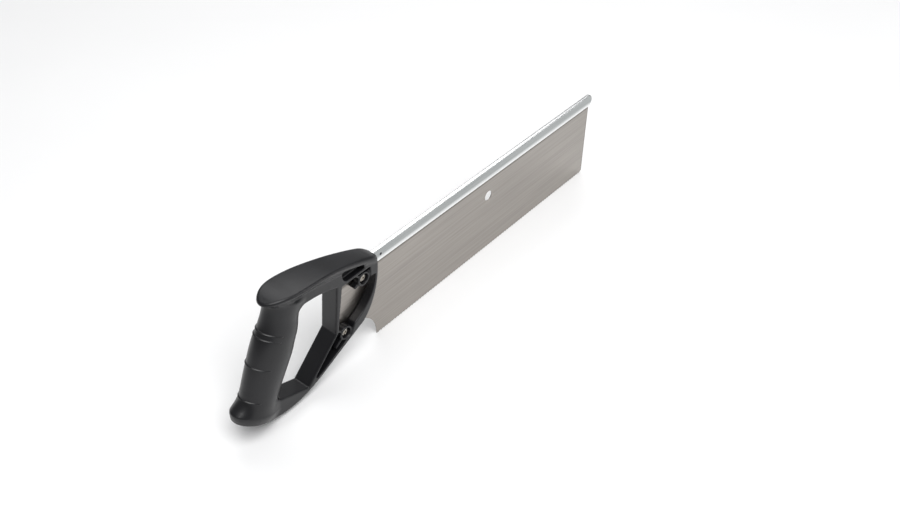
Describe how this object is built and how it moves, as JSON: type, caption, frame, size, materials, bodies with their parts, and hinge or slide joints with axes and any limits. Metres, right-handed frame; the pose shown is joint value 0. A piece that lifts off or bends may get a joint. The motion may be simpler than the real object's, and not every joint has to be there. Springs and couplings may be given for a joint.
{
  "type": "back saw",
  "caption": "Back saw: a thin fine-toothed steel plate stiffened by a folded steel back, in a closed moulded handle with a wide palm pad.",
  "frame": {"origin": "middle of the saw's bounding box at the level of the tooth points", "axes": "+X along the tooth line from handle to toe, +Y through the plate's thickness towards the nut side, +Z from the teeth up to the back"},
  "size_m": [0.539, 0.0332, 0.138],
  "materials": {
    "plate_steel": "ground and lightly polished along the blade, slightly warm grey",
    "back_steel": "bright drawn and rolled strip",
    "rivet_steel": "blackened",
    "fastener_steel": "zinc plated, satin",
    "handle_plastic": "moulded charcoal black plastic, fine satin grain"
  },
  "bodies": {
    "root": {"blade_plate": "plate_steel", "blade_back": "back_steel", "back_rivet": "rivet_steel", "handle": "handle_plastic", "upper_screw": "fastener_steel", "upper_nut": "fastener_steel", "lower_screw": "fastener_steel", "lower_nut": "fastener_steel"}
  },
  "joints": []
}
